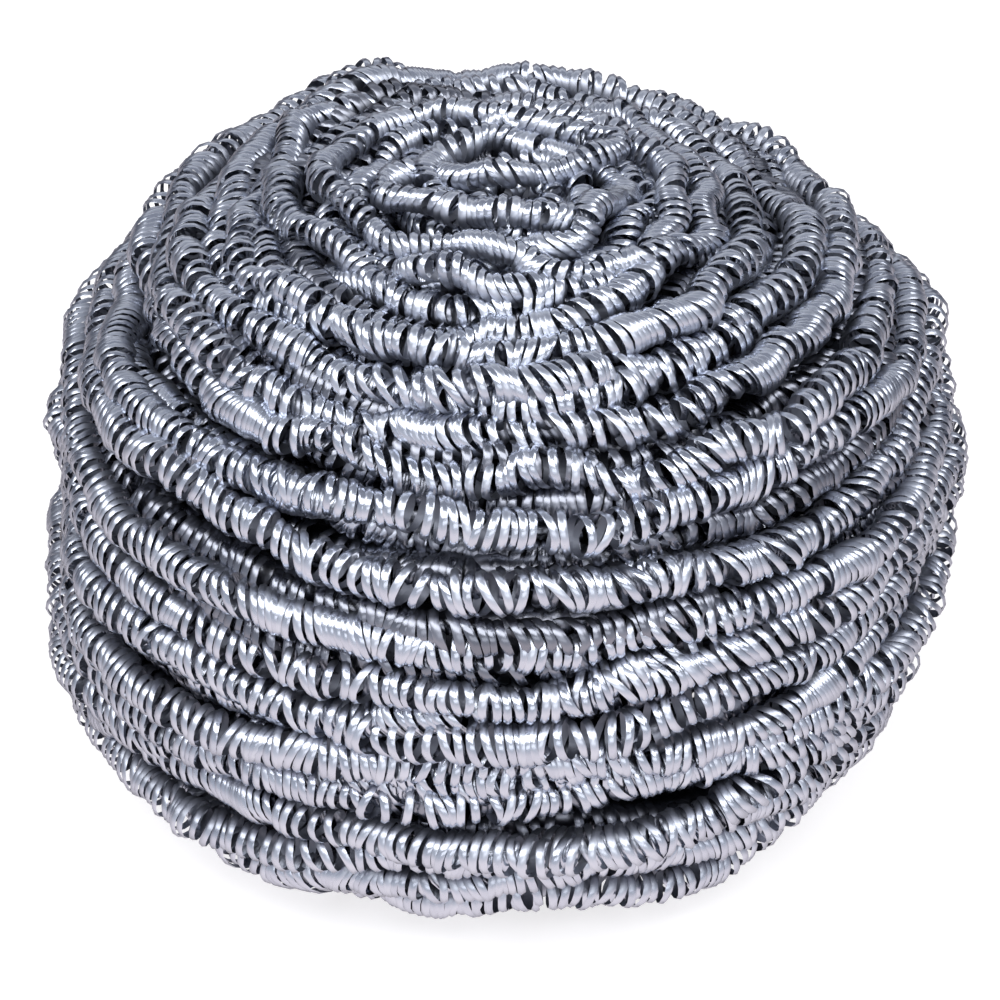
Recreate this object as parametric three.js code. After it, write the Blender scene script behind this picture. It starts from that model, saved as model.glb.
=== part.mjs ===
// Stainless steel scourer. One long strand of flat steel ribbon, curled into a tight
// spring, is wound round on itself from the underside up to the crown of a squat ball.
// The ball sits on the turns of its underside, which its weight has pressed flat, and leans a
// little to one side.
// Millimetres, +Z up, origin on the table under the middle of the ball.
import * as THREE from "three";
import { ParametricGeometry } from "three/addons/geometries/ParametricGeometry.js";
import { mergeVertices } from "three/addons/utils/BufferGeometryUtils.js";

// The ball, over the outside of the strand
const BALL_DIAMETER = 89;
const BALL_HEIGHT = 63.5;
const WIDEST_HEIGHT = 30;
const BASE_DIAMETER = 61;
// How square the outline is above and below its widest height, where 2 is an ellipse
const UPPER_SQUARENESS = 2.3;
const LOWER_SQUARENESS = 3;
// How far the ball leans to its right for each millimetre of height
const LEAN = 0.05;

// The strand, how far apart its turns are laid, and how deep the widest gaps between them go
const STRAND_DIAMETER = 3.8;
const TURN_SPACING = 4.15;
const GAP_DEPTH = 4.4;
// How far the turns of the underside are pressed flat
const PRESSED_DEPTH = 0.5;
// How near to the axis the two ends of the strand are cut off
const END_CUT = 1.9;

// The unevenness of the winding: a turn drifts to and fro over the ball, and rises and sinks.
// Each wave has its height, how often it comes in one turn, and the angle that it starts at.
// The drift is in spacings between turns, and the lift in strand diameters.
const DRIFT_WAVES = [
  { height: 0.4, perTurn: 0.036, start: -2.94 },
  { height: 0.5, perTurn: 0.93, start: 0.4 },
  { height: 0.08, perTurn: 1.61, start: 1.2 },
  { height: 0.08, perTurn: 2.37, start: 2 },
  { height: 0.06, perTurn: 4.43, start: 0.7 },
];
const LIFT_WAVES = [
  { height: 0.15, perTurn: 1.73, start: 0.3 },
  { height: 0.13, perTurn: 4.31, start: 1.1 },
];
// How far a turn climbs out for each millimetre that it is squeezed against the turn before it
const CLIMB = 0.5;
// Where two turns have sprung apart, or less than nothing where they press together: the turns
// wound by then, the share of a turn that it reaches to each side, and how wide it opens. The push
// halves with each turn further off.
const SPRUNG_GAPS = [
  { turns: 12.66, reach: 0.05, width: 1.3 },
  { turns: 13.6, reach: 0.04, width: 1.3 },
  { turns: 14.84, reach: 0.04, width: 2.2 },
  { turns: 15.25, reach: 0.08, width: 1.5 },
  { turns: 15.76, reach: 0.07, width: -1.5 },
  { turns: 17.62, reach: 0.08, width: 2 },
  { turns: 18.4, reach: 0.07, width: 1.5 },
  { turns: 18.74, reach: 0.04, width: 1.3 },
  { turns: 18.89, reach: 0.04, width: 1.8 },
  { turns: 20.95, reach: 0.05, width: 1.6 },
];
const PUSH_FADE = 0.5;
// Where the ball bulges, or is dented: the turns wound by then, how far across and how far out
const BULGES = [
  { turns: 9.66, across: 7, out: 1.6 },
  { turns: 9.73, across: 5, out: 1 },
  { turns: 9.83, across: 8, out: 2.2 },
  { turns: 10.87, across: 6, out: 1.5 },
  { turns: 11.92, across: 7, out: 1.5 },
  { turns: 12.54, across: 8, out: 1.8 },
  { turns: 14.54, across: 6, out: -1.6 },
  { turns: 15.51, across: 8, out: -2.2 },
  { turns: 15.99, across: 6, out: 1.8 },
  { turns: 16.5, across: 4, out: 1.4 },
  { turns: 17, across: 5, out: -1.3 },
  { turns: 19.02, across: 5, out: 1 },
  { turns: 19.5, across: 6, out: -1.6 },
  { turns: 20.03, across: 9, out: 1 },
  { turns: 21.07, across: 7, out: -1 },
  { turns: 22.33, across: 6, out: 3.6 },
  { turns: 24.08, across: 10, out: -1.4 },
];
// The lengths over which the unevenness grows, from the middle of the underside, from the rim
// of the base and from the middle of the crown
const DRIFT_RUN_IN = 18;
const LIFT_RUN_IN = 8;
const CROWN_RUN_OUT = 8;

// How finely the surface is divided: along one turn, across one turn and along the outline
const STEPS_PER_TURN = 36;
const FACES_PER_ROW = 4;
const OUTLINE_POINTS = 48;
const MERGE_DISTANCE = 1e-4;

const FULL_TURN = 2 * Math.PI;
const STRAND_RADIUS = STRAND_DIAMETER / 2;
const UNDERSIDE_HEIGHT = STRAND_RADIUS - PRESSED_DEPTH;
const { clamp, lerp } = THREE.MathUtils;

// A quarter of a superellipse, from its widest point to its end on the axis
function quarterOutline(width, height, squareness) {
  const power = 2 / squareness;
  return Array.from({ length: OUTLINE_POINTS + 1 }, (_, i) => {
    const angle = (i / OUTLINE_POINTS) * (Math.PI / 2);
    const out = i === OUTLINE_POINTS ? 0 : Math.cos(angle);
    return new THREE.Vector2(width * out ** power, height * Math.sin(angle) ** power);
  });
}

// The line that the middle of the strand is wound on, as distance from the axis and height:
// from the axis out over the flat underside, up round the side and in to the axis at the crown
function windingLine() {
  const width = BALL_DIAMETER / 2 - STRAND_RADIUS;
  const base = BASE_DIAMETER / 2;
  const rise = BALL_HEIGHT - STRAND_RADIUS - WIDEST_HEIGHT;
  const drop = WIDEST_HEIGHT - UNDERSIDE_HEIGHT;
  const reach = drop / (1 - (base / width) ** LOWER_SQUARENESS) ** (1 / LOWER_SQUARENESS);
  const underside = [new THREE.Vector2(0, UNDERSIDE_HEIGHT), new THREE.Vector2(base, UNDERSIDE_HEIGHT)];
  const foot = quarterOutline(width, reach, LOWER_SQUARENESS)
    .map((p) => new THREE.Vector2(p.x, WIDEST_HEIGHT - p.y))
    .filter((p) => p.y > UNDERSIDE_HEIGHT)
    .reverse();
  const crown = quarterOutline(width, rise, UPPER_SQUARENESS)
    .slice(1)
    .map((p) => new THREE.Vector2(p.x, WIDEST_HEIGHT + p.y));
  return [...underside, ...foot, ...crown];
}

// A line whose points are found by their length along it. Past either end it goes on over the
// axis, as the line on the other side of the ball.
class MeasuredLine {
  constructor(points) {
    this.points = points;
    this.reached = [0];
    for (let i = 1; i < points.length; i += 1) {
      this.reached.push(this.reached[i - 1] + points[i].distanceTo(points[i - 1]));
    }
    this.length = this.reached.at(-1);
  }

  at(place) {
    const held = clamp(place, -place, 2 * this.length - place);
    const next = Math.max(1, this.reached.findIndex((reached) => reached >= held));
    const start = this.reached[next - 1];
    const point = this.points[next - 1].clone();
    point.lerp(this.points[next], (held - start) / (this.reached[next] - start));
    point.x *= held === place ? 1 : -1;
    return point;
  }

  // Which way is out of the ball, square to the line
  outAt(place) {
    const ahead = this.at(place + STRAND_RADIUS / 2).sub(this.at(place - STRAND_RADIUS / 2)).normalize();
    return new THREE.Vector2(ahead.y, -ahead.x);
  }
}

const line = new MeasuredLine(windingLine());
const stepCount = Math.ceil((line.length / TURN_SPACING + 1) * STEPS_PER_TURN);

function sumOfWaves(waves, step) {
  const angle = (step / STEPS_PER_TURN) * FULL_TURN;
  return waves.reduce((sum, wave) => sum + wave.height * Math.sin(wave.perTurn * angle + wave.start), 0);
}

// How far the unevenness has grown here. The first and the last turn are even.
function grown(place, start, runIn) {
  const fromStart = (place - start) / runIn;
  const toCrown = (line.length - TURN_SPACING - place) / CROWN_RUN_OUT;
  return clamp(Math.min(fromStart, toCrown), 0, 1);
}

// How far two turns that have sprung apart push this one aside
function sprungAside(step) {
  return SPRUNG_GAPS.reduce((sum, gap) => {
    const turns = step / STEPS_PER_TURN - gap.turns;
    const rows = Math.round(turns);
    const near = Math.exp(-(((turns - rows) / gap.reach) ** 2));
    const push = rows > 0 ? PUSH_FADE ** (rows - 1) : -(PUSH_FADE ** -rows);
    return sum + (gap.width / 2) * push * near;
  }, 0);
}

function evenPlace(step) {
  return TURN_SPACING * (step / STEPS_PER_TURN - 0.5);
}

// Where the middle of the strand lies along the winding line, after this many steps of winding
function rowPlace(step) {
  const even = evenPlace(step);
  const aside = TURN_SPACING * sumOfWaves(DRIFT_WAVES, step) + sprungAside(step);
  return even + aside * grown(even, TURN_SPACING, DRIFT_RUN_IN);
}

// How far the ball bulges out there
function bulgeOut(step) {
  const even = evenPlace(step);
  return BULGES.reduce((sum, bulge) => {
    const turns = step / STEPS_PER_TURN - bulge.turns;
    const round = (turns - Math.round(turns)) * FULL_TURN * Math.abs(line.at(even).x);
    const along = even - evenPlace(bulge.turns * STEPS_PER_TURN);
    return sum + bulge.out * Math.exp(-(round ** 2 + along ** 2) / bulge.across ** 2);
  }, 0);
}

// How far the strand stands out from the winding line there
function rowLift(step) {
  const squeezed = TURN_SPACING - (rowPlace(step) - rowPlace(step - STEPS_PER_TURN));
  const wave = STRAND_DIAMETER * sumOfWaves(LIFT_WAVES, step);
  const lift = wave + CLIMB * Math.max(0, squeezed) + bulgeOut(step);
  return lift * grown(rowPlace(step), BASE_DIAMETER / 2, LIFT_RUN_IN);
}

// A place too near to the axis for the strand to be wound round it is on the axis
function clearOfAxis(place) {
  if (place < END_CUT) {
    return 0;
  }
  return place > line.length - END_CUT ? line.length : place;
}

// The gap between the row at this step and the row wound beside it one turn later. Two rows that
// lie close meet on their round backs, and a gap between them goes in as far as it opens.
function gapAfter(step) {
  const later = step + STEPS_PER_TURN;
  const spread = rowPlace(later) - rowPlace(step);
  const open = Math.max(0, spread - STRAND_DIAMETER);
  const round = Math.sqrt(Math.max(0, STRAND_RADIUS ** 2 - (spread / 2) ** 2));
  return {
    place: clearOfAxis((rowPlace(later) + rowPlace(step)) / 2),
    height: Math.max(round - open, STRAND_RADIUS - GAP_DEPTH) + (rowLift(later) + rowLift(step)) / 2,
  };
}

// A point of the row's round back: across is 1 on the crest and 0 at the given gap
function backOfRow(step, gap, width, across) {
  const middle = rowPlace(step);
  const place = lerp(gap.place, clamp(middle, 0, line.length), across);
  const aside = Math.min(Math.abs(place - middle), STRAND_RADIUS);
  const round = Math.sqrt(STRAND_RADIUS ** 2 - aside ** 2) + rowLift(step);
  return { place, height: lerp(gap.height, round, clamp(width / STRAND_DIAMETER, 0, 1)) };
}

// One point of the surface, from the gap on the crown side of a row over its back to the gap
// on the other side. The underside is pressed flat on the table.
function surfacePoint(step, face) {
  const crownGap = gapAfter(step);
  const baseGap = gapAfter(step - STEPS_PER_TURN);
  const side = face < FACES_PER_ROW / 2 ? crownGap : baseGap;
  const across = 1 - Math.abs((2 * face) / FACES_PER_ROW - 1);
  const spot = across === 0 ? side : backOfRow(step, side, crownGap.place - baseGap.place, across);
  const point = line.at(spot.place).addScaledVector(line.outAt(spot.place), spot.height);
  const angle = (step / STEPS_PER_TURN) * FULL_TURN;
  const height = Math.max(0, point.y);
  const leaned = LEAN * (height - BALL_HEIGHT / 2);
  return new THREE.Vector3(point.x * Math.cos(angle) + leaned, point.x * Math.sin(angle), height);
}

// The whole winding as one closed surface: a band as wide as one row, wound up the ball, whose
// edges meet along the gaps and which narrows to nothing at both ends on the axis
function woundBall() {
  const band = new ParametricGeometry(
    (u, v, target) => target.copy(surfacePoint(Math.round(v * stepCount), Math.round(u * FACES_PER_ROW))),
    FACES_PER_ROW,
    stepCount,
  );
  band.deleteAttribute("normal");
  band.deleteAttribute("uv");
  const joined = mergeVertices(band, MERGE_DISTANCE);
  const corners = joined.index.array;
  const kept = [];
  for (let i = 0; i < corners.length; i += 3) {
    const triangle = [corners[i], corners[i + 1], corners[i + 2]];
    if (new Set(triangle).size === 3) {
      kept.push(...triangle);
    }
  }
  joined.setIndex(kept);
  joined.computeVertexNormals();
  return joined;
}

const stainlessSteel = new THREE.MeshStandardMaterial({ color: 0x8f939d, roughness: 0.3, metalness: 1 });
const scourer = new THREE.Mesh(woundBall(), stainlessSteel);
scourer.name = "scourer";

const part = new THREE.Group();
part.add(scourer);

export default part;
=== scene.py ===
import math

import bpy
import numpy as np
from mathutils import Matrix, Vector


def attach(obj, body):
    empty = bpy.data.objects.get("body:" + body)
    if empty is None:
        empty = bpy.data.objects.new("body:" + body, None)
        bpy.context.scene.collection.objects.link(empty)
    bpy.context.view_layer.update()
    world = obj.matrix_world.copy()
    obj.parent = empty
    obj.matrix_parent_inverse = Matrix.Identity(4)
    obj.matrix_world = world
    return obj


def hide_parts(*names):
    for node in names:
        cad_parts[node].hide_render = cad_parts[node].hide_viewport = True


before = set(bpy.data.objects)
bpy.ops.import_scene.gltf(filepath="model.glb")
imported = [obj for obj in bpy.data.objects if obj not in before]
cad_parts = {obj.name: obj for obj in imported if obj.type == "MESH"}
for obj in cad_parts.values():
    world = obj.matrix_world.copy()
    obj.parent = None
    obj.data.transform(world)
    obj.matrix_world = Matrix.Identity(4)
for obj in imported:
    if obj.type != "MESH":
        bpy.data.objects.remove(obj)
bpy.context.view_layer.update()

# The outer turns of the strand.
# One strand of flat stainless ribbon, curled into a tight spring, is wound round and round
# from the underside to the crown. Nothing ties it: its own spring holds each turn down.
MM = 0.001
FULL_TURN = 2 * math.pi
BALL_DIAMETER = 89 * MM
BALL_HEIGHT = 63.5 * MM
WIDEST_HEIGHT = 30 * MM
BASE_DIAMETER = 61 * MM
UPPER_SQUARENESS = 2.3
LOWER_SQUARENESS = 3.0
LEAN = 0.05
STRAND_DIAMETER = 3.8 * MM
STRAND_RADIUS = STRAND_DIAMETER / 2
TURN_SPACING = 4.15 * MM
PRESSED_DEPTH = 0.5 * MM

# The turns drift along the ball and lift off it in waves: how far, how many waves to a turn, and
# where each starts. Drift is in shares of the spacing of the turns, lift in shares of the strand.
DRIFT_WAVES = ((0.40, 0.036, -2.94), (0.50, 0.93, 0.4), (0.08, 1.61, 1.2), (0.08, 2.37, 2.0),
               (0.06, 4.43, 0.7))
LIFT_WAVES = ((0.15, 1.73, 0.3), (0.13, 4.31, 1.1))
DRIFT_RUN_IN = 18 * MM
LIFT_RUN_IN = 8 * MM
CROWN_RUN_OUT = 8 * MM
# How far a turn that is squeezed climbs, as a share of the squeeze
CLIMB = 0.5

# Where two turns have sprung apart, or less than nothing where they press together: the turns
# wound by then, the share of a turn that it reaches to each side, and how wide it opens. The push
# halves with each turn further off.
SPRUNG_GAPS = ((12.66, 0.05, 1.3 * MM), (13.60, 0.04, 1.3 * MM), (14.84, 0.04, 2.2 * MM),
               (15.25, 0.08, 1.5 * MM), (15.76, 0.07, -1.5 * MM), (17.62, 0.08, 2.0 * MM),
               (18.40, 0.07, 1.5 * MM), (18.74, 0.04, 1.3 * MM), (18.89, 0.04, 1.8 * MM),
               (20.95, 0.05, 1.6 * MM))
PUSH_FADE = 0.5
GAP_SPREAD = 1.2
# Where the ball bulges, or is dented: the turns wound by then, how far across and how far out
BULGES = ((9.66, 7 * MM, 1.6 * MM), (9.73, 5 * MM, 1.0 * MM), (9.83, 8 * MM, 2.2 * MM),
          (10.87, 6 * MM, 1.5 * MM), (11.92, 7 * MM, 1.5 * MM), (12.54, 8 * MM, 1.8 * MM),
          (14.54, 6 * MM, -1.6 * MM), (15.51, 8 * MM, -2.2 * MM), (15.99, 6 * MM, 1.8 * MM),
          (16.50, 4 * MM, 1.4 * MM), (17.00, 5 * MM, -1.3 * MM), (19.02, 5 * MM, 1.0 * MM),
          (19.50, 6 * MM, -1.6 * MM), (20.03, 9 * MM, 1.0 * MM), (21.07, 7 * MM, -1.0 * MM),
          (22.33, 6 * MM, 3.6 * MM), (24.08, 10 * MM, -1.4 * MM))
# Where the spring of the strand has opened out: the turns wound by then, how far across and how
# much. On the crown the strand is curled tighter, more so towards its middle.
LOOSE_SPOTS = ((15.80, 16 * MM, 0.4), (18.78, 13 * MM, 0.4), (20.86, 12 * MM, 0.2),
               (13.90, 14 * MM, 0.35), (11.80, 16 * MM, 0.3), (17.35, 12 * MM, 0.3))
TIGHT_CROWN = 28 * MM
TIGHTNESS = 0.8

# In how many points the line and each turn are followed, the turn that the strand starts at and
# how far past the last it goes, how near it comes to the axis, and how many run-outs before the
# end of the crown it starts to sink in
LINE_POINTS = 400
POINTS_PER_TURN = 240
FIRST_TURN = 0.6
LAST_TURN_OVER = 0.3
AXIS_CLEARANCE = 0.4 * MM
SINK_START = 1.6
LOOK_AHEAD = STRAND_RADIUS / 4


def winding_line(inset):
    """Distance from the axis and height of the line that the strand is wound on, this far in."""
    width = BALL_DIAMETER / 2 - inset
    floor = inset - PRESSED_DEPTH
    rise = BALL_HEIGHT - inset - WIDEST_HEIGHT
    base = BASE_DIAMETER / 2 + STRAND_RADIUS - inset
    drop = WIDEST_HEIGHT - floor
    reach = drop / (1 - (base / width) ** LOWER_SQUARENESS) ** (1 / LOWER_SQUARENESS)
    angle = np.linspace(0, math.pi / 2, LINE_POINTS)
    out = np.cos(angle).clip(0)
    up = np.sin(angle)
    foot = np.c_[width * out ** (2 / LOWER_SQUARENESS),
                 WIDEST_HEIGHT - reach * up ** (2 / LOWER_SQUARENESS)]
    crown = np.c_[width * out ** (2 / UPPER_SQUARENESS),
                  WIDEST_HEIGHT + rise * up ** (2 / UPPER_SQUARENESS)]
    foot = foot[foot[:, 1] > floor]
    return np.vstack([[(0, floor), (base, floor)], foot[::-1], crown[1:]])


def running_length(points):
    """How far along this path each of its points is."""
    steps = np.linalg.norm(np.diff(points, axis=0), axis=1)
    return np.concatenate([[0], np.cumsum(steps)])


def sum_of_waves(waves, angle):
    return sum(height * np.sin(per_turn * angle + start) for height, per_turn, start in waves)


def sprung_aside(turns):
    """How far the gaps push the strand along the ball, once it has been wound this many turns."""
    shift = np.zeros_like(turns)
    for gap_turns, reach, width in SPRUNG_GAPS:
        rows = np.round(turns - gap_turns)
        near = np.exp(-((turns - gap_turns - rows) / reach) ** 2)
        push = np.where(rows > 0, PUSH_FADE ** np.abs(rows - 1), -(PUSH_FADE ** np.abs(rows)))
        shift += width / 2 * push * near
    return shift


def under_gaps(turns):
    """How near these turns come to lying right under a place where two turns have sprung apart."""
    near = np.zeros_like(turns)
    for gap_turns, reach, width in SPRUNG_GAPS:
        away = turns - gap_turns - 0.5
        aside = (turns - gap_turns) - np.round(turns - gap_turns)
        under = np.exp(-(aside / (GAP_SPREAD * reach)) ** 2 - away ** 2)
        near = np.maximum(near, (width > 0) * under)
    return near


def sum_of_spots(spots, turns, radius):
    """The height of these round spots, each faded out from its middle, along the strand."""
    total = np.zeros_like(turns)
    for spot_turns, across, height in spots:
        away = turns - spot_turns
        aside = (away - np.round(away)) * FULL_TURN * radius
        total += height * np.exp(-(aside ** 2 + (away * TURN_SPACING) ** 2) / across ** 2)
    return total


def wound_strand(inset, spacing, drift, lift, direction=1, sink=0.0, climb=CLIMB, hollow=0.0):
    """The middle of a strand wound up the ball this far in, which way is out of the ball, and how
    loosely the strand is curled. It sinks in at the crown, and by the hollow under gaps."""
    line = winding_line(inset)
    reached = running_length(line)
    length = reached[-1]
    turns = length / spacing
    angle = np.linspace(FIRST_TURN, turns + LAST_TURN_OVER, int(turns * POINTS_PER_TURN)) * FULL_TURN

    def place_at(angle):
        even = spacing * (angle / FULL_TURN - 0.5)
        to_crown = (length - spacing - even) / CROWN_RUN_OUT
        grown = np.minimum((even - spacing) / DRIFT_RUN_IN, to_crown).clip(0, 1)
        ball_turns = direction * angle / FULL_TURN
        ball_turns = ball_turns + np.round(even / TURN_SPACING + 0.5 - ball_turns)
        shift = spacing * sum_of_waves(drift, angle) + sprung_aside(ball_turns)
        return even + grown * shift, ball_turns, to_crown

    def on_line(at):
        return np.c_[np.interp(at, reached, line[:, 0]), np.interp(at, reached, line[:, 1])]

    place, ball_turns, to_crown = place_at(angle)
    squeezed = spacing - (place - place_at(angle - FULL_TURN)[0])
    place = place.clip(AXIS_CLEARANCE, length - AXIS_CLEARANCE)
    lifted = np.minimum((place - BASE_DIAMETER / 2) / LIFT_RUN_IN, to_crown).clip(0, 1)
    radius = on_line(place)[:, 0]
    rise = STRAND_DIAMETER * sum_of_waves(lift, angle) + climb * squeezed.clip(0)
    rise = rise + sum_of_spots(BULGES, ball_turns, radius)
    sunk = sink * (1 - (to_crown / SINK_START).clip(0, 1))
    rise = lifted * rise - sunk - hollow * under_gaps(ball_turns)

    ahead = on_line(place + LOOK_AHEAD) - on_line(place - LOOK_AHEAD)
    ahead /= np.linalg.norm(ahead, axis=1)[:, None]
    out = np.c_[ahead[:, 1], -ahead[:, 0]]
    spot = on_line(place) + out * rise[:, None]
    around = angle * direction

    def turned(flat):
        return np.c_[flat[:, 0] * np.cos(around), flat[:, 0] * np.sin(around), flat[:, 1]]

    points = turned(spot)
    points[:, 0] += LEAN * (points[:, 2] - BALL_HEIGHT / 2)
    tight = (1 - to_crown * CROWN_RUN_OUT / TIGHT_CROWN).clip(0, 1)
    return points, turned(out), sum_of_spots(LOOSE_SPOTS, ball_turns, radius) - TIGHTNESS * tight


RIBBON_WIDTH = 0.78 * MM
RIBBON_CROWN = 0.20 * MM
COIL_PITCH = 1.12 * MM
COIL_STEPS = 14
PITCH_STEP = 0.2 * MM
# The pitch wavers along the strand, by these shares of it, with bumps of these lengths
BROAD_PITCH_CHANGE = 0.32
FINE_PITCH_CHANGE = 1.4 * BROAD_PITCH_CHANGE
BROAD_PITCH_BUMPS = 9 * MM
FINE_PITCH_BUMPS = 1.9 * MM
# How uneven the coils are, each as heights and lengths of bumps along the strand. Swell, lean and
# tip are shares of the strand's radius. Sway and heave move the whole strand aside and outward.
COIL_SWELL = ((0.07, 6 * MM), (0.16, 1.1 * MM))
COIL_LEAN = ((0.32, 22 * MM), (0.4, 3 * MM))
COIL_TIP = ((0.3, 5 * MM), (0.4, 1.1 * MM))
STRAND_SWAY = ((0.5 * MM, 9 * MM), (0.3 * MM, 3.5 * MM))
STRAND_HEAVE = ((0.35 * MM, 6 * MM),)
LEAN_START = 0.7
# What a loose spot, or the tight curl on the crown, does to the pitch and the unevenness of the
# coils, and how much more restless and how much thinner the strand is on the crown
LOOSE_PITCH = 0.3
LOOSE_SHAKE = 0.35
CROWN_UNREST = 1.9
CROWN_THINNING = 0.38
FLOOR_CLEARANCE = 0.02 * MM


def unit(vectors):
    return vectors / np.linalg.norm(vectors, axis=1)[:, None]


def smooth_noise(rng, length, scale, values):
    """Seeded noise at these lengths, between about -1 and 1, with bumps about this long."""
    knots = rng.uniform(-1, 1, int(length / scale) + 3)
    at = values / scale
    low = np.floor(at).astype(int).clip(0, len(knots) - 2)
    share = at - low
    share = share * share * (3 - 2 * share)
    return knots[low] * (1 - share) + knots[low + 1] * share


def curled_ribbon(name, points, outs, loose, seed, steps, pitch=COIL_PITCH, width=RIBBON_WIDTH, unrest=1.0):
    """A mesh of flat ribbon curled into a spring round this path, crowned on its outer side."""
    rng = np.random.default_rng(seed)
    reached = running_length(points)
    length = reached[-1]
    ahead = unit(np.gradient(points, axis=0))
    aside = unit(np.cross(ahead, outs))
    outward = np.cross(aside, ahead)

    # The pitch changes along the strand, so the curl's angle is summed up over the length
    fine = np.linspace(0, length, int(length / PITCH_STEP))
    pitch_here = pitch * (1 + BROAD_PITCH_CHANGE * smooth_noise(rng, length, BROAD_PITCH_BUMPS, fine)
                          + FINE_PITCH_CHANGE * smooth_noise(rng, length, FINE_PITCH_BUMPS, fine))
    pitch_here = pitch_here * (1 + LOOSE_PITCH * np.interp(fine, reached, loose))
    turned = np.concatenate([[0], np.cumsum(np.diff(fine) / pitch_here[1:])])
    count = int(turned[-1] * steps)
    coil = np.arange(count) / steps
    along = np.interp(coil, turned, fine)
    angle = coil * FULL_TURN

    def here(values):
        return np.c_[tuple(np.interp(along, reached, values[:, k]) for k in range(3))]

    def waver(bumps):
        return sum(height * smooth_noise(rng, length, scale, along) for height, scale in bumps)

    middle = here(points)
    forward = unit(here(ahead))
    right = unit(here(aside))
    up = unit(here(outward))
    loose_along = np.interp(along, reached, loose)
    on_crown = loose_along.clip(None, 0)
    shaken = 1 + LOOSE_SHAKE * np.abs(loose_along)
    restless = unrest * (1 - CROWN_UNREST * on_crown)
    thinned = 1 + CROWN_THINNING * on_crown
    swell = waver(COIL_SWELL) * shaken
    lean = waver(COIL_LEAN) * shaken
    tip = waver(COIL_TIP) * shaken
    sway = waver(STRAND_SWAY) * restless
    heave = waver(STRAND_HEAVE) * restless
    radius = (STRAND_RADIUS - RIBBON_CROWN / 2) * thinned * (1 + swell)
    radial = up * np.cos(angle)[:, None] + right * np.sin(angle)[:, None]
    centre = middle + radial * radius[:, None] + right * sway[:, None] + up * heave[:, None]
    leaning = lean * np.cos(angle + LEAN_START) + tip * np.sin(angle + LEAN_START)
    centre = centre + forward * (radius * leaning)[:, None]
    run = unit(np.gradient(centre, axis=0))
    across = unit(np.cross(run, radial))
    skin = np.cross(across, run)

    # Edge, crown of the outer side, edge
    corners = [(width / 2, 0), (0, RIBBON_CROWN), (-width / 2, 0)]
    rings = np.stack([centre + across * w + skin * t for w, t in corners], axis=1)
    rings[:, :, 2] = rings[:, :, 2].clip(FLOOR_CLEARANCE)
    return ribbon_object(name, rings, coil)


SHARP_EDGE = math.radians(60)
INNER_SIDE = 2
END_FACE_MAP = 2.5
END_CELLS = 2
ROW_MARGIN = 0.1


def ribbon_object(name, rings, coil):
    """A closed ribbon through these three-cornered rings, with the curl's turns and its sides as a map."""
    count = len(rings)
    first = np.arange(count - 1)[:, None] * 3
    side = np.arange(3)
    after = (side + 1) % 3
    quads = np.stack([first + side, first + after, first + 3 + after, first + 3 + side], axis=-1)
    quads = quads.reshape(-1, 4)
    corners = np.concatenate([quads.reshape(-1), side[::-1], (count - 1) * 3 + side])
    starts = np.concatenate([np.arange(len(quads)) * 4, [len(quads) * 4, len(quads) * 4 + 3]])
    mesh = bpy.data.meshes.new(name)
    mesh.vertices.add(count * 3)
    mesh.vertices.foreach_set("co", rings.reshape(-1).astype(np.float32))
    mesh.loops.add(len(corners))
    mesh.loops.foreach_set("vertex_index", corners.astype(np.int32))
    mesh.polygons.add(len(starts))
    mesh.polygons.foreach_set("loop_start", starts.astype(np.int32))
    mesh.polygons.foreach_set("use_smooth", np.ones(len(starts), dtype=bool))
    mesh.update(calc_edges=True)
    mesh.set_sharp_from_angle(angle=SHARP_EDGE)

    # Across the ribbon the map runs from 0 to 2 over the outer side and from 2 to 3 over the inner side
    turn = np.stack([coil[:-1], coil[:-1], coil[1:], coil[1:]], axis=-1)
    turn = np.repeat(turn[:, None, :], 3, axis=1)
    over = np.stack([side, side + 1, side + 1, side], axis=-1)
    flat = np.stack([turn, np.repeat(over[None, :, :], count - 1, axis=0)], axis=-1).reshape(-1, 2)
    flat = np.vstack([flat, np.full((6, 2), END_FACE_MAP)])
    ribbon_map = mesh.uv_layers.new(name="ribbon")
    ribbon_map.data.foreach_set("uv", flat.reshape(-1).astype(np.float32))

    # A second map lays the ribbon out flat in rows, one cell for each step along it
    cells = count - 1 + END_CELLS
    rows = round(math.sqrt(cells / 3))
    columns = math.ceil(cells / rows)
    cell = np.arange(cells)
    low = np.stack([cell % columns / columns, (cell // columns + ROW_MARGIN / 2) / rows], axis=-1)
    size = np.array([1 / columns, (1 - ROW_MARGIN) / rows])
    step = np.broadcast_to(np.array([0, 0, 1, 1]), over.shape)
    within = np.stack([step, over / 3], axis=-1).reshape(-1, 2)
    laid = (low[:count - 1, None, :] + within[None, :, :] * size).reshape(-1, 2)
    end_face = np.array([(0, 0), (1, 0), (0, 1)])
    ends = (low[count - 1:, None, :] + end_face[None, :, :] * size).reshape(-1, 2)
    laid_map = mesh.uv_layers.new(name="OFBake")
    laid_map.data.foreach_set("uv", np.vstack([laid, ends]).reshape(-1).astype(np.float32))
    piece = bpy.data.objects.new(name, mesh)
    bpy.context.scene.collection.objects.link(piece)
    return piece


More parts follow.
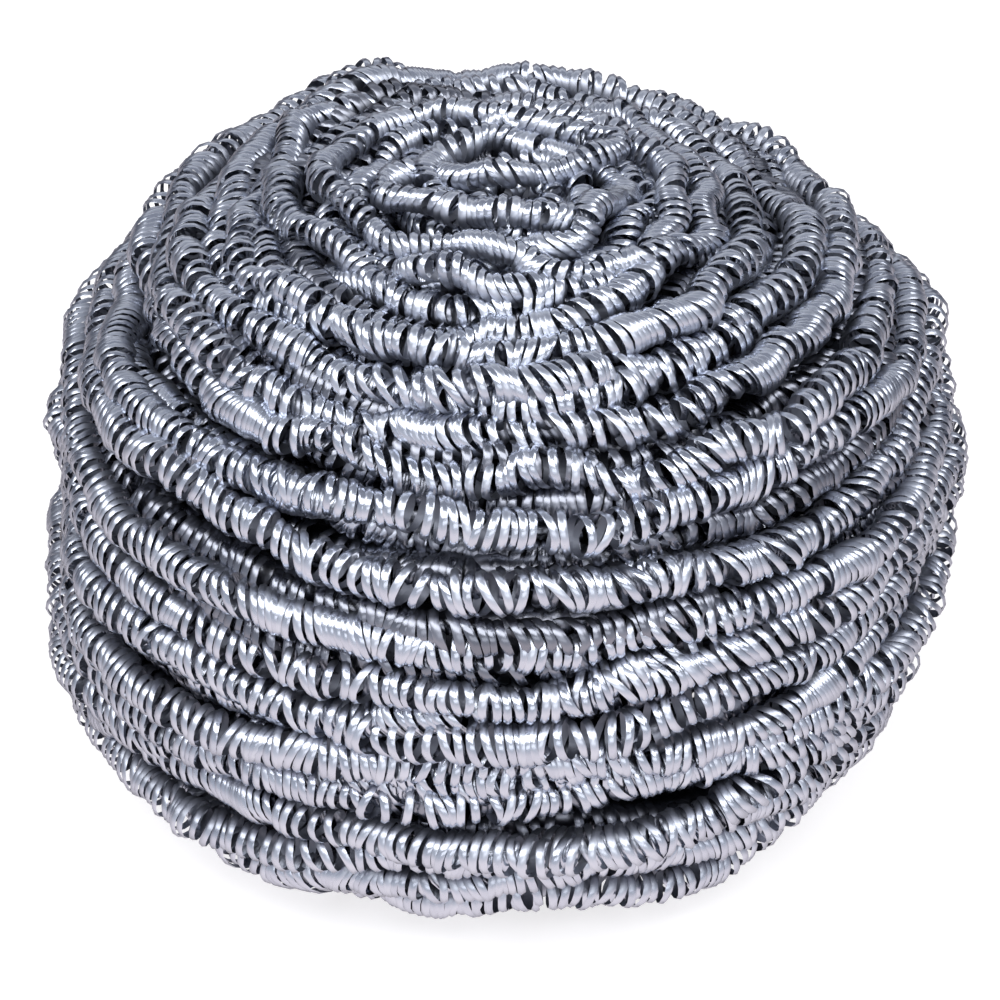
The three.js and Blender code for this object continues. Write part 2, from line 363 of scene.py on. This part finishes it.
class Shade:
    """A socket of a node tree, on which Python's operators add Math nodes."""

    def __init__(self, tree, socket=None):
        self.tree = tree
        self.socket = socket

    def node(self, kind, settings=None, sockets=None, output=0):
        made = self.tree.nodes.new(kind)
        for key, value in (settings or {}).items():
            setattr(made, key, value)
        for key, value in (sockets or {}).items():
            if isinstance(value, Shade):
                self.tree.links.new(value.socket, made.inputs[key])
            else:
                made.inputs[key].default_value = value
        return Shade(self.tree, made.outputs[output])

    def math(self, operation, a, b=0.0):
        return self.node("ShaderNodeMath", {"operation": operation}, {0: a, 1: b})

    def __add__(self, other):
        return self.math("ADD", self, other)

    def __radd__(self, other):
        return self.math("ADD", other, self)

    def __sub__(self, other):
        return self.math("SUBTRACT", self, other)

    def __rsub__(self, other):
        return self.math("SUBTRACT", other, self)

    def __mul__(self, other):
        return self.math("MULTIPLY", self, other)

    def __rmul__(self, other):
        return self.math("MULTIPLY", other, self)

    def into(self, socket):
        self.tree.links.new(self.socket, socket)


BROAD_GRAIN = 160.0
BROAD_DETAIL = 3.0
FINE_GRAIN = 1400.0
FINE_DETAIL = 4.0
GRAIN_STRENGTH = 0.25
GRAIN_DEPTH = 0.05 * MM
# Where round the curl the ribbon starts to face out of the ball, and where it faces right out.
# Inward of these its colour is darkened: painted shade.
TURNING_OUT = -0.2
TURNED_OUT = 0.7
# The share of the lighter tones that the ribbon's inner side keeps; the rest of it is painted shade
INNER_SIDE_UNSHADED = 0.25
TONE_BY_COIL = 0.6
DEEP_ROUGHNESS = 0.42
OUTWARD_POLISH = 0.28
COIL_ROUGHNESS = 0.14
GRAIN_ROUGHNESS = 0.10
SMOOTH = {"interpolation_type": "SMOOTHSTEP"}
COLOURS = {"data_type": "RGBA"}


def ribbon_steel(name, bright, dull, painted_shade):
    """Bright drawn steel, with painted shade where the curl turns into the ball and on the ribbon's inner
    side.
    """
    material = bpy.data.materials.new(name)
    material.use_nodes = True
    tree = material.node_tree
    steel = tree.nodes["Principled BSDF"]
    start = Shade(tree)
    ribbon = start.node("ShaderNodeUVMap", {"uv_map": "ribbon"})
    turn = start.node("ShaderNodeSeparateXYZ", None, {0: ribbon}, 0)
    over = start.node("ShaderNodeSeparateXYZ", None, {0: ribbon}, 1)
    place = start.node("ShaderNodeTexCoord", output="Object")
    broad = start.node("ShaderNodeTexNoise", None,
                       {"Vector": place, "Scale": BROAD_GRAIN, "Detail": BROAD_DETAIL})
    fine = start.node("ShaderNodeTexNoise", None,
                      {"Vector": place, "Scale": FINE_GRAIN, "Detail": FINE_DETAIL})
    coil_number = start.math("FLOOR", turn + 0.5)
    by_coil = start.node("ShaderNodeTexWhiteNoise", {"noise_dimensions": "1D"}, {"W": coil_number})
    facing = start.math("COSINE", turn * FULL_TURN)
    curl_unshaded = start.node("ShaderNodeMapRange", SMOOTH, {0: facing, 1: TURNING_OUT, 2: TURNED_OUT})
    outer_side = start.math("LESS_THAN", over, INNER_SIDE)
    # Painted shade: this mask is low towards the inside of the curl and on the ribbon's inner side
    outward_unshaded = curl_unshaded * (INNER_SIDE_UNSHADED + (1 - INNER_SIDE_UNSHADED) * outer_side)
    mottle = (1 - TONE_BY_COIL) * broad + TONE_BY_COIL * by_coil
    tone = start.node("ShaderNodeMix", COLOURS, {0: mottle, 6: dull, 7: bright}, 2)
    # Where the mask is low the tone goes to the darkest colour: painted shade
    tone = start.node("ShaderNodeMix", COLOURS, {0: outward_unshaded, 6: painted_shade, 7: tone}, 2)
    tone.into(steel.inputs["Base Color"])
    rough = DEEP_ROUGHNESS - OUTWARD_POLISH * outward_unshaded + COIL_ROUGHNESS * by_coil + GRAIN_ROUGHNESS * fine
    rough.into(steel.inputs["Roughness"])
    steel.inputs["Metallic"].default_value = 1.0
    bump = start.node("ShaderNodeBump", None,
                      {"Height": fine, "Strength": GRAIN_STRENGTH, "Distance": GRAIN_DEPTH})
    bump.into(steel.inputs["Normal"])
    return material


# The darkest colour is painted shade for the inside of the curl, not a colour of the steel
steel = ribbon_steel("bright_steel_ribbon", bright=(0.82, 0.86, 0.95, 1), dull=(0.60, 0.64, 0.74, 1),
                     painted_shade=(0.27, 0.285, 0.335, 1))


def dress(piece, material):
    piece.data.materials.append(material)
    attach(piece, "root")
    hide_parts("scourer")


def equal_lengths(points, count):
    """This strand cut into this many equal lengths, each as a slice of its points."""
    reached = running_length(points)
    for number in range(count):
        first = np.searchsorted(reached, reached[-1] * number / count)
        last = np.searchsorted(reached, reached[-1] * (number + 1) / count) + 1
        yield slice(first, last)


OUTER_UNREST = (1.0, 1.0, 1.2, 2.0)
OUTER_SEED = 11
outer_points, outer_outs, outer_loose = wound_strand(STRAND_RADIUS, TURN_SPACING, DRIFT_WAVES, LIFT_WAVES,
                                                     sink=0.9 * MM)
for number, part in enumerate(equal_lengths(outer_points, len(OUTER_UNREST))):
    piece = curled_ribbon(f"outer_turns_{number + 1}", outer_points[part], outer_outs[part],
                          outer_loose[part], OUTER_SEED + number, COIL_STEPS, unrest=OUTER_UNREST[number])
    dress(piece, steel)

# The stray turns.
# Here and there a turn of the same strand has been wound at a slant over the others, and comes
# out between them for a while before it goes under again.
STRAY_DRIFT = ((0.55, 0.81, 2.0), (0.22, 2.37, 0.5))
STRAY_LIFT = ((0.2, 3.3, 0.5), (0.14, 5.7, 2.0))
STRAY_INSET = STRAND_RADIUS + 0.9 * MM
STRAY_SPACING = 11 * MM
STRAY_LENGTHS = 2
STRAY_SEED = 17
stray_points, stray_outs, stray_loose = wound_strand(STRAY_INSET, STRAY_SPACING, STRAY_DRIFT, STRAY_LIFT,
                                                     sink=1.2 * MM, climb=0, hollow=9.0 * MM)
for number, part in enumerate(equal_lengths(stray_points, STRAY_LENGTHS)):
    piece = curled_ribbon(f"stray_turns_{number + 1}", stray_points[part], stray_outs[part],
                          stray_loose[part], STRAY_SEED + number, COIL_STEPS)
    dress(piece, steel)

# The loose end of the strand.
# The last of the strand has sprung out of line and lies over the crown in a loop and a bend,
# with its tip tucked down between the turns. Its route is from above, in millimetres.
LOOSE_END = ((22, -3), (9, -14.5), (-2, -12.6), (-13, -9), (-17, 2), (-11, 12), (0, 12), (9, 8),
             (4, 1.5), (-3, -1), (-9, 1.2), (-13, -3), (-5, -6.6), (4, -7.2), (10, -2), (12, 6))
END_RISE = 1.4 * MM
END_PITCH = 1.2 * MM
END_SEED = 23
TUCKED_LENGTH = 12 * MM
ROUTE_STEPS = 60
SMALLEST_STEP = 1e-9


def smooth_route(corners, steps):
    """A smooth curve through these corners, with this many points between one and the next."""
    held = np.vstack([2 * corners[0] - corners[1], corners, 2 * corners[-1] - corners[-2]])
    before, start, stop, after = (held[k:len(held) - 3 + k, None, :] for k in range(4))
    share = (np.arange(steps) / steps)[None, :, None]
    bend = (stop - before) * share + (2 * before - 5 * start + 4 * stop - after) * share ** 2
    bend = bend + (3 * start - before - 3 * stop + after) * share ** 3
    return (start + bend / 2).reshape(-1, corners.shape[1])


end_flat = smooth_route(np.array(LOOSE_END) * MM, ROUTE_STEPS)
end_out = np.hypot(end_flat[:, 0], end_flat[:, 1])
end_length = running_length(end_flat)
tucked = np.minimum(end_length, end_length[-1] - end_length) / TUCKED_LENGTH
crown_line = winding_line(STRAND_RADIUS)
crown_line = crown_line[crown_line[:, 1] > WIDEST_HEIGHT][::-1]
end_height = np.interp(end_out, crown_line[:, 0], crown_line[:, 1])
end_height = end_height + END_RISE - STRAND_DIAMETER * (1 - tucked).clip(0)
slope = np.gradient(crown_line[:, 1]) / np.gradient(crown_line[:, 0]).clip(SMALLEST_STEP)
end_tilt = (np.interp(end_out, crown_line[:, 0], slope) / end_out)[:, None] * end_flat
end_outs = unit(np.c_[-end_tilt, np.ones_like(end_height)])
end_points = np.c_[end_flat, end_height]
end_points[:, 0] += LEAN * (end_height - BALL_HEIGHT / 2)
end_loose = np.full_like(end_height, -TIGHTNESS)
piece = curled_ribbon("loose_end", end_points, end_outs, end_loose, END_SEED, COIL_STEPS, pitch=END_PITCH)
dress(piece, steel)

# The inner turns of the strand.
# The same strand of steel ribbon goes on under the outer turns, wound the other way, and shows in
# the gaps between them. Little light comes down to it, so its steel is given darker tones as painted shade.
INNER_INSET = STRAND_RADIUS + 2.0 * MM
INNER_SPACING = 4.2 * MM
INNER_PITCH = 1.22 * MM
INNER_RIBBON_WIDTH = 0.88 * MM
INNER_SEED = 31
HIDDEN_COIL_STEPS = 8
inner_points, inner_outs, inner_loose = wound_strand(INNER_INSET, INNER_SPACING, DRIFT_WAVES, LIFT_WAVES,
                                                     direction=-1, sink=2.2 * MM, hollow=3.0 * MM)
piece = curled_ribbon("inner_turns", inner_points, inner_outs, np.zeros_like(inner_loose), INNER_SEED,
                      HIDDEN_COIL_STEPS, pitch=INNER_PITCH, width=INNER_RIBBON_WIDTH)
# A shaded copy of the steel: all its colours are darkened as painted shade
shaded_steel = ribbon_steel("inner_steel_painted_shade", bright=(0.38, 0.395, 0.455, 1),
                            dull=(0.23, 0.243, 0.285, 1), painted_shade=(0.08, 0.084, 0.10, 1))
dress(piece, shaded_steel)

# The turns in the middle of the ball.
# Below the inner turns the same strand goes on through the whole ball, crushed close together.
# It closes the view through the gaps, so a wider ribbon with fewer coils is enough here.
CORE_INSET = STRAND_RADIUS + 4.4 * MM
CORE_PITCH = 2.0 * MM
CORE_RIBBON_WIDTH = 1.9 * MM
CORE_SEED = 37
core_points, core_outs, core_loose = wound_strand(CORE_INSET, INNER_SPACING, DRIFT_WAVES, LIFT_WAVES,
                                                  sink=2.2 * MM, hollow=2.0 * MM)
piece = curled_ribbon("core_turns", core_points, core_outs, np.zeros_like(core_loose), CORE_SEED,
                      HIDDEN_COIL_STEPS, pitch=CORE_PITCH, width=CORE_RIBBON_WIDTH)
# The core turns take the same shaded copy of the steel: painted shade
dress(piece, shaded_steel)

# The floor, a plain pale sheet, and a pale round backdrop that closes the view behind it.
# Neither is mirrored in the steel: the table and the room that are mirrored come with the light.
FLOOR_HALF = 3.0
FLOOR_COLOUR = (0.60, 0.595, 0.595, 1)
FLOOR_ROUGHNESS = 0.9
FLOOR_GLOW = (1.0, 0.99, 0.99, 1)
FLOOR_GLOW_STRENGTH = 0.68
floor_mesh = bpy.data.meshes.new("floor")
floor_mesh.from_pydata([(-FLOOR_HALF, -FLOOR_HALF, 0), (FLOOR_HALF, -FLOOR_HALF, 0),
                        (FLOOR_HALF, FLOOR_HALF, 0), (-FLOOR_HALF, FLOOR_HALF, 0)], [], [(0, 1, 2, 3)])
floor = bpy.data.objects.new("floor", floor_mesh)
bpy.context.scene.collection.objects.link(floor)
pale = bpy.data.materials.new("pale_floor")
pale.use_nodes = True
pale_floor = pale.node_tree.nodes["Principled BSDF"]
pale_floor.inputs["Base Color"].default_value = FLOOR_COLOUR
pale_floor.inputs["Roughness"].default_value = FLOOR_ROUGHNESS
pale_floor.inputs["Emission Color"].default_value = FLOOR_GLOW
pale_floor.inputs["Emission Strength"].default_value = FLOOR_GLOW_STRENGTH
floor_mesh.materials.append(pale)
floor.visible_glossy = False

BACKDROP_RADIUS = 2.6
BACKDROP_HEIGHT = 3.0
BACKDROP_SIDES = 64
BACKDROP_GLOW = (1.0, 0.995, 0.995, 1)
BACKDROP_GLOW_STRENGTH = 0.90
rim_angle = np.arange(BACKDROP_SIDES) * FULL_TURN / BACKDROP_SIDES
rim = [(BACKDROP_RADIUS * math.cos(a), BACKDROP_RADIUS * math.sin(a)) for a in rim_angle]
wall_corners = [(x, y, z) for z in (0.0, BACKDROP_HEIGHT) for x, y in rim]
wall_faces = []
for low in range(BACKDROP_SIDES):
    low_next = (low + 1) % BACKDROP_SIDES
    wall_faces.append((low_next, low, low + BACKDROP_SIDES, low_next + BACKDROP_SIDES))
backdrop_mesh = bpy.data.meshes.new("backdrop")
backdrop_mesh.from_pydata(wall_corners, [], wall_faces)
backdrop = bpy.data.objects.new("backdrop", backdrop_mesh)
bpy.context.scene.collection.objects.link(backdrop)
paper = bpy.data.materials.new("pale_backdrop")
paper.use_nodes = True
pale_paper = paper.node_tree.nodes["Principled BSDF"]
pale_paper.inputs["Base Color"].default_value = (0.0, 0.0, 0.0, 1)
pale_paper.inputs["Specular IOR Level"].default_value = 0.0
pale_paper.inputs["Emission Color"].default_value = BACKDROP_GLOW
pale_paper.inputs["Emission Strength"].default_value = BACKDROP_GLOW_STRENGTH
backdrop_mesh.materials.append(paper)
backdrop.visible_glossy = False
backdrop.visible_diffuse = False
backdrop.visible_shadow = False

# The light: a room that is brighter towards the viewer than behind the ball, over a beige table,
# and soft oblong lamps. The broad one above the viewer draws the streak along each turn, the two
# at the sides light the flanks of the crown, and the weak ones in front and behind fill in.
BEIGE = (0.95, 0.87, 0.89, 1)
DUSKY = (0.60, 0.556, 0.582, 1)
FRONT = (0.52, 0.543, 0.602, 1)
GLOOM = (0.13, 0.137, 0.166, 1)
PALE = (0.285, 0.30, 0.347, 1)
# Where the table gives way to the walls, the walls to the ceiling, and the front to the back
TABLE_TOP = {1: -0.5, 2: 0.25}
CEILING_EDGE = {1: 0.15, 2: 0.9}
BACK_EDGE = {1: -0.6, 2: 0.4}
LAMPS_AIM = Vector((0, 0, 0.03))
world = bpy.data.worlds.new("room")
world.use_nodes = True
room = Shade(world.node_tree)
toward = room.node("ShaderNodeTexCoord", output="Generated")
behind = room.node("ShaderNodeSeparateXYZ", None, {0: toward}, 1)
height = room.node("ShaderNodeSeparateXYZ", None, {0: toward}, 2)
above = room.node("ShaderNodeMapRange", SMOOTH, {0: height, **TABLE_TOP})
higher = room.node("ShaderNodeMapRange", SMOOTH, {0: height, **CEILING_EDGE})
back = room.node("ShaderNodeMapRange", SMOOTH, {0: behind, **BACK_EDGE})
walls = room.node("ShaderNodeMix", COLOURS, {0: back, 6: FRONT, 7: GLOOM}, 2)
table = room.node("ShaderNodeMix", COLOURS, {0: back, 6: BEIGE, 7: DUSKY}, 2)
over_table = room.node("ShaderNodeMix", COLOURS, {0: higher, 6: walls, 7: PALE}, 2)
all_round = room.node("ShaderNodeMix", COLOURS, {0: above, 6: table, 7: over_table}, 2)
all_round.into(world.node_tree.nodes["Background"].inputs["Color"])
bpy.context.scene.world = world


def soft_lamp(name, place, width, depth, radiance):
    lamp = bpy.data.lights.new(name, "AREA")
    lamp.shape = "RECTANGLE"
    lamp.size = width
    lamp.size_y = depth
    lamp.energy = radiance * width * depth * math.pi
    holder = bpy.data.objects.new(name, lamp)
    holder.location = place
    holder.visible_camera = False
    holder.rotation_euler = (LAMPS_AIM - Vector(place)).to_track_quat("-Z", "Y").to_euler()
    bpy.context.scene.collection.objects.link(holder)


soft_lamp("top_lamp", place=(-0.1, -0.58, 1.05), width=1.4, depth=0.62, radiance=2.8)
soft_lamp("left_lamp", place=(-0.85, -0.05, 1.05), width=0.8, depth=0.62, radiance=2.4)
soft_lamp("right_lamp", place=(0.85, -0.05, 1.05), width=0.8, depth=0.62, radiance=2.1)
soft_lamp("front_lamp", place=(0.2, -1.15, 0.5), width=1.2, depth=0.4, radiance=0.9)
soft_lamp("back_lamp", place=(0, 1.0, 0.72), width=1.5, depth=0.5, radiance=0.4)

# The camera, at the photograph's viewing angle, above the table and straight in front of the ball.
# It aims a little below the middle of the ball, which then fills the frame as it does there.
VIEW_ELEVATION = math.radians(34.4)
VIEW_DISTANCE = 0.45
LENS = 164.6
SENSOR_WIDTH = 36
AIM_RIGHT = 0.4 * MM
AIM_BELOW = 5.3 * MM
ball_middle = Vector((0, 0, BALL_HEIGHT / 2))
to_viewer = Vector((0, -math.cos(VIEW_ELEVATION), math.sin(VIEW_ELEVATION)))
view_up = Vector((0, math.sin(VIEW_ELEVATION), math.cos(VIEW_ELEVATION)))
camera = bpy.data.objects.new("camera", bpy.data.cameras.new("camera"))
camera.data.lens = LENS
camera.data.sensor_width = SENSOR_WIDTH
camera.location = ball_middle + to_viewer * VIEW_DISTANCE
aim = ball_middle + Vector((AIM_RIGHT, 0, 0)) - view_up * AIM_BELOW
camera.rotation_euler = (aim - camera.location).to_track_quat("-Z", "Y").to_euler()
bpy.context.scene.collection.objects.link(camera)
bpy.context.scene.camera = camera
bpy.context.scene.view_settings.view_transform = "Standard"
